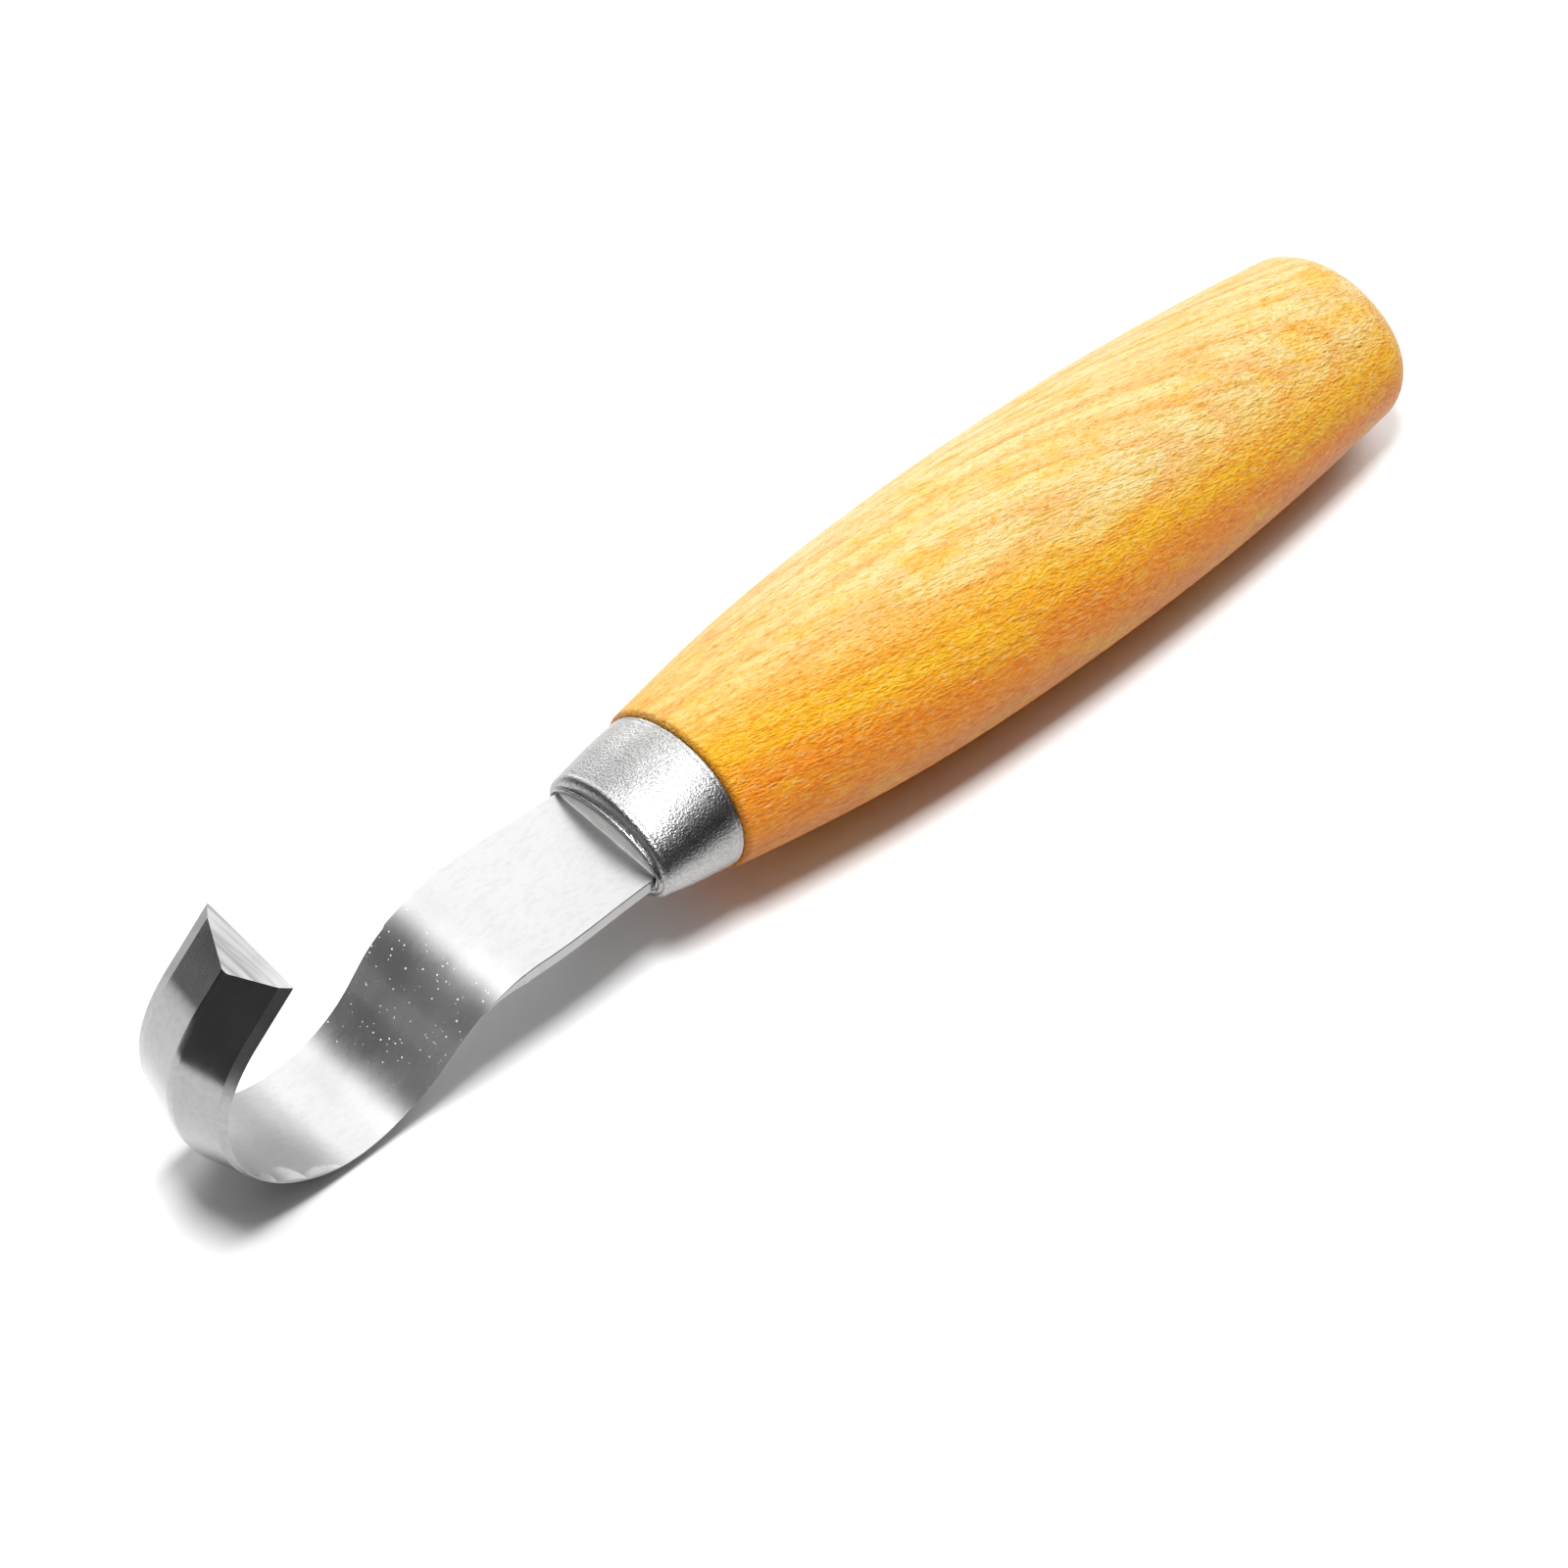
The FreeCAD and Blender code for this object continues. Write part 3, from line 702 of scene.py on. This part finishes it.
class Shading:
    """A node material and short ways to add to it."""

    def __init__(self, name):
        self.material = bpy.data.materials.new(name)
        self.material.use_nodes = True
        self.tree = self.material.node_tree
        self.shader = self.tree.nodes["Principled BSDF"]
        self.place = self.add("TexCoord").outputs["Object"]

    def add(self, kind, inputs=None, **settings):
        made = self.tree.nodes.new("ShaderNode" + kind)
        for name, value in settings.items():
            setattr(made, name, value)
        for name, value in (inputs or {}).items():
            self.feed(made.inputs[name], value)
        return made

    def feed(self, socket, value):
        if isinstance(value, bpy.types.NodeSocket):
            self.tree.links.new(value, socket)
        else:
            socket.default_value = value

    def set(self, **inputs):
        """Feed the shader's sockets, with _ for a space in a socket's name."""
        for name, value in inputs.items():
            self.feed(self.shader.inputs[name.replace("_", " ")], value)

    def stretched(self, scale=(1000.0, 1000.0, 1000.0), turn=0.0):
        """The place on the object, turned by degrees about Z, then scaled: millimetres by default."""
        rotation = (0.0, 0.0, math.radians(turn))
        turned = self.add("Mapping", {"Vector": self.place, "Rotation": rotation})
        return self.add("Mapping", {"Vector": turned.outputs[0], "Scale": scale}).outputs[0]

    def noise(self, place, scale=1.0, detail=2.0, roughness=0.5, distortion=0.0):
        inputs = {
            "Vector": place,
            "Scale": scale,
            "Detail": detail,
            "Roughness": roughness,
            "Distortion": distortion,
        }
        return self.add("TexNoise", inputs).outputs["Fac"]

    def math(self, operation, first, second=0.0, third=0.0):
        made = self.add("Math", operation=operation)
        for socket, value in zip(made.inputs, (first, second, third)):
            self.feed(socket, value)
        return made.outputs[0]

    def span(self, value, low, high, to_low=0.0, to_high=1.0):
        """Carry a value from one range to another, clamped and eased."""
        made = self.add(
            "MapRange",
            {"Value": value, "From Min": low, "From Max": high, "To Min": to_low, "To Max": to_high},
            interpolation_type="SMOOTHSTEP",
        )
        return made.outputs[0]

    def mix(self, share, first, second, blend="MIX"):
        """Mix two colours; the inputs and the output of a colour mix have these numbers."""
        made = self.add("Mix", data_type="RGBA", blend_type=blend)
        for number, value in ((0, share), (6, first), (7, second)):
            if isinstance(value, tuple):
                value = (*value, 1.0)
            self.feed(made.inputs[number], value)
        return made.outputs[2]

    def bump(self, height, millimetres, before=None):
        inputs = {"Height": height, "Distance": millimetres * MM, "Strength": 1.0}
        if before:
            inputs["Normal"] = before
        return self.add("Bump", inputs).outputs[0]


def birch_patterns(wood):
    """The noise patterns that follow the grain, by name."""
    patterns = {}
    for name, (along, across, detail, roughness) in BIRCH_PATTERNS.items():
        place = wood.stretched((along, across, across), GRAIN_TURN)
        patterns[name] = wood.noise(place, detail=detail, roughness=roughness)
    return patterns


def late_wood(wood, grain, drift):
    """The dark part of each growth ring, for layers that slope, bow and drift along the handle."""
    layer = wood.math("MULTIPLY_ADD", grain.outputs["Y"], LAYER_SLOPE, grain.outputs["Z"])
    bowed = wood.math("POWER", wood.math("MULTIPLY", grain.outputs["Y"], LAYER_BOW), 2.0)
    layer = wood.math("SUBTRACT", layer, bowed)
    layer = wood.math("MULTIPLY_ADD", drift, LAYER_DRIFT, layer)
    ring = wood.math("FRACT", wood.math("DIVIDE", layer, RING_GAP))
    return wood.math("MULTIPLY", wood.span(ring, *LATE_WOOD), wood.span(ring, *RING_END))


def oiled_birch():
    """Birch with its growth layers, fibres and flecks, and the grain that oiling raises."""
    wood = Shading("oiled_birch")
    patterns = birch_patterns(wood)
    grain = wood.add("SeparateXYZ", {"Vector": wood.stretched(turn=GRAIN_TURN)})

    # painted sheen: the wood is painted paler towards the top of the handle and deeper low down
    painted_sheen_height = wood.math("MULTIPLY_ADD", grain.outputs["Y"], PAINTED_SHEEN_SLOPE, grain.outputs["Z"])
    painted_sheen_height = wood.math("MULTIPLY_ADD", patterns["clouds"], PAINTED_SHEEN_CLOUDS, painted_sheen_height)
    colour = wood.mix(wood.span(painted_sheen_height, *DEEP_TO_WARM), BIRCH_DEEP, BIRCH_WARM)
    colour = wood.mix(wood.span(painted_sheen_height, *WARM_TO_PAINTED_SHEEN), colour, PAINTED_SHEEN_PALE)
    for name, low, high, most, tint, blend in TINTS_BEFORE:
        colour = wood.mix(wood.span(patterns[name], low, high, 0.0, most), colour, tint, blend)
    late = late_wood(wood, grain, patterns["drift"])
    colour = wood.mix(wood.math("MULTIPLY", late, RING_SHARE), colour, BIRCH_AMBER)
    for name, low, high, most, tint, blend in TINTS_AFTER:
        colour = wood.mix(wood.span(patterns[name], low, high, 0.0, most), colour, tint, blend)
    ahead = wood.add("SeparateXYZ", {"Vector": wood.place}).outputs["X"]
    # painted shade: the wood is painted darker next to the ferrule
    start, full, most = FERRULE_PAINTED_SHADE
    ferrule_painted_shade = wood.span(wood.math("SUBTRACT", ahead, HANDLE_FRONT), start, full, 0.0, most)
    colour = wood.mix(ferrule_painted_shade, colour, FERRULE_PAINTED_SHADE_COLOUR)

    shape = wood.bump(patterns["pebbles"], PEBBLE_HEIGHT)
    shape = wood.bump(patterns["threads"], THREAD_HEIGHT, before=shape)
    roughness = wood.span(patterns["clouds"], *MIDDLE, *OIL_ROUGHNESS)
    wood.set(Base_Color=colour, Roughness=roughness, Normal=shape, Specular_IOR_Level=OIL_GLOSS)
    return wood.material


def dust_specks(metal, largest):
    """Where a speck of dust lies: a dot in each cell, of a random size, thinning out along the blade."""
    cells = metal.add("TexVoronoi", {"Vector": metal.stretched(), "Scale": DUST_CELLS, "Randomness": 1.0})
    luck = metal.add("SeparateColor", {"Color": cells.outputs["Color"]})
    ahead = metal.add("SeparateXYZ", {"Vector": metal.place}).outputs["X"]
    settled = metal.math(
        "MULTIPLY",
        metal.span(ahead, DUST_START - DUST_FADE, DUST_START),
        metal.span(ahead, DUST_END + DUST_FADE, DUST_END),
    )
    size = metal.math("MULTIPLY", metal.math("POWER", luck.outputs["Red"], DUST_RARITY), largest)
    return metal.math("LESS_THAN", cells.outputs["Distance"], metal.math("MULTIPLY", size, settled))


def steel(name, shade, roughness, line_scale, line_height, line_share, largest_speck):
    """Steel with grinding lines along one direction, faint smudges, fine grit and, if any, dust."""
    metal = Shading(name)
    smudges = metal.noise(metal.stretched(SMUDGES), detail=3.0)
    lines = metal.noise(metal.stretched(line_scale), detail=3.0, roughness=0.65)
    grit = metal.noise(metal.stretched(), scale=GRIT_SCALE, detail=1.0)
    smudged = (shade * SMUDGE_SHADE,) * 3
    colour = metal.mix(metal.span(smudges, *MIDDLE), smudged, (shade,) * 3)
    line_colour = (shade * LINE_COLOUR,) * 3
    colour = metal.mix(metal.span(lines, *LINE_RANGE, 0.0, line_share), colour, line_colour)
    rough = metal.span(smudges, *MIDDLE, roughness - SMUDGE_GLOSS, roughness)
    rough = metal.math("MULTIPLY_ADD", lines, LINE_ROUGHNESS, rough)
    shape = metal.bump(lines, line_height)
    shape = metal.bump(grit, GRIT_HEIGHT, before=shape)
    metal.set(Metallic=1.0)
    if largest_speck:
        speck = dust_specks(metal, largest_speck)
        colour = metal.mix(speck, colour, DUST_COLOUR)
        metal.set(Metallic=metal.math("SUBTRACT", 1.0, speck))
    metal.set(Base_Color=colour, Roughness=rough, Normal=shape)
    return metal.material


def pebbled_steel():
    """Drawn and tumbled steel: bright, with a fine pebbled skin."""
    metal = Shading("ferrule_steel")
    skin = metal.noise(metal.stretched(), scale=SKIN_SCALE, detail=2.0, roughness=0.6)
    waves = metal.noise(metal.stretched(), scale=WAVE_SCALE, detail=1.0)
    stains = metal.noise(metal.stretched(), scale=STAIN_SCALE, detail=3.0)
    colour = metal.mix(metal.span(stains, *MIDDLE), FERRULE_DULL, FERRULE_BRIGHT)
    colour = metal.mix(metal.span(skin, *SKIN_RANGE, 0.0, SKIN_SHARE), colour, SKIN_SHADE)
    shape = metal.bump(skin, SKIN_HEIGHT)
    shape = metal.bump(waves, WAVE_HEIGHT, before=shape)
    roughness = metal.span(stains, *MIDDLE, *FERRULE_ROUGHNESS)
    metal.set(Base_Color=colour, Metallic=1.0, Roughness=roughness, Normal=shape)
    return metal.material


def cured_filler():
    """Matte grey filler, slightly grainy and marbled."""
    filler = Shading("cured_adhesive")
    marble = filler.noise(filler.stretched(), scale=MARBLE_SCALE, detail=4.0, distortion=MARBLE_TWIST)
    grain_scale, grain_height = FILLER_GRAIN
    grain = filler.noise(filler.stretched(), scale=grain_scale, detail=2.0)
    colour = filler.mix(filler.span(marble, *MIDDLE), FILLER_DARK, FILLER_LIGHT)
    roughness = filler.span(grain, *MIDDLE, *FILLER_ROUGHNESS)
    filler.set(Base_Color=colour, Roughness=roughness, Normal=filler.bump(grain, grain_height))
    return filler.material


# ---------------------------------------------------------------- studio


def make_camera():
    """The camera, from azimuth, elevation and roll about its own line of sight."""
    azimuth, elevation = math.radians(AZIMUTH), math.radians(ELEVATION)
    back = Vector(
        (
            math.sin(azimuth) * math.cos(elevation),
            -math.cos(azimuth) * math.cos(elevation),
            math.sin(elevation),
        )
    )
    data = bpy.data.cameras.new("camera")
    data.lens = LENS_MM
    data.sensor_width = SENSOR_MM
    data.clip_start = NEAREST_SEEN
    camera = bpy.data.objects.new("camera", data)
    bpy.context.scene.collection.objects.link(camera)
    level = back.to_track_quat("Z", "Y").to_matrix()
    rolled = level @ Matrix.Rotation(math.radians(ROLL), 3, "Z")
    camera.matrix_world = Matrix.Translation(AIM + back * DISTANCE) @ rolled.to_4x4()
    bpy.context.scene.camera = camera


def studio_sheet(name, corners, shade, **shading):
    """A matt grey four-sided sheet, with further settings of its shader."""
    mesh = bpy.data.meshes.new(name)
    mesh.from_pydata(corners, [], [(0, 1, 2, 3)])
    sheet = bpy.data.objects.new(name, mesh)
    bpy.context.scene.collection.objects.link(sheet)
    matt = Shading(name)
    matt.set(Base_Color=(shade, shade, shade, 1.0), Roughness=STUDIO_ROUGHNESS, **shading)
    mesh.materials.append(matt.material)
    return sheet


def make_floor():
    """The pale floor that the knife lies on."""
    reach = FLOOR_REACH
    corners = [(-reach, -reach, 0), (reach, -reach, 0), (reach, reach, 0), (-reach, reach, 0)]
    floor = studio_sheet("floor", corners, FLOOR_SHADE)


def make_card():
    """A low black card in front of the hook, seen only in reflections: it darkens the near bevel."""
    place, start, end, top = DARK_CARD
    corners = [(place, start, 0.0), (place, end, 0.0), (place, end, top), (place, start, top)]
    card = studio_sheet("card", corners, CARD_SHADE, Specular_IOR_Level=0.0)
    card.visible_camera = False
    card.visible_diffuse = False
    card.visible_shadow = False


def area_light(name, direction, size, radiance):
    """A soft panel of a given brightness that faces the knife from a direction."""
    data = bpy.data.lights.new(name, "AREA")
    data.shape = "RECTANGLE"
    data.size, data.size_y = size
    data.energy = math.pi * size[0] * size[1] * radiance
    light = bpy.data.objects.new(name, data)
    bpy.context.scene.collection.objects.link(light)
    place = Vector(direction).normalized() * PANEL_DISTANCE
    back = place.normalized()
    along = Vector((1.0, 0.0, 0.0))
    along = (along - back * along.dot(back)).normalized()
    across = back.cross(along)
    turn = Matrix((along, across, back)).transposed().to_4x4()
    light.matrix_world = Matrix.Translation(place) @ turn


def make_lights():
    """A small bright box overhead, soft panels all round, a low window and the room."""
    for name, direction, size, radiance in PANELS:
        area_light(name, direction, size, radiance)
    world = bpy.data.worlds.new("studio")
    bpy.context.scene.world = world
    world.use_nodes = True
    nodes, links = world.node_tree.nodes, world.node_tree.links
    room = nodes["Background"]
    backdrop = nodes.new("ShaderNodeBackground")
    for background, strength in ((room, ROOM_LIGHT), (backdrop, BACKDROP)):
        background.inputs["Color"].default_value = (1, 1, 1, 1)
        background.inputs["Strength"].default_value = strength
    rays = nodes.new("ShaderNodeLightPath")
    either = nodes.new("ShaderNodeMixShader")
    links.new(rays.outputs["Is Camera Ray"], either.inputs[0])
    links.new(room.outputs[0], either.inputs[1])
    links.new(backdrop.outputs[0], either.inputs[2])
    links.new(either.outputs[0], nodes["World Output"].inputs["Surface"])


handle = make_handle()
ferrule = make_ferrule()
blade = make_blade()
filler = make_filler()
handle.data.materials.append(oiled_birch())
ferrule.data.materials.append(pebbled_steel())
filler.data.materials.append(cured_filler())
for settings in BLADE_STEELS:
    blade.data.materials.append(steel(*settings))
make_floor()
make_card()
make_lights()
make_camera()
bpy.context.scene.view_settings.view_transform = "Standard"
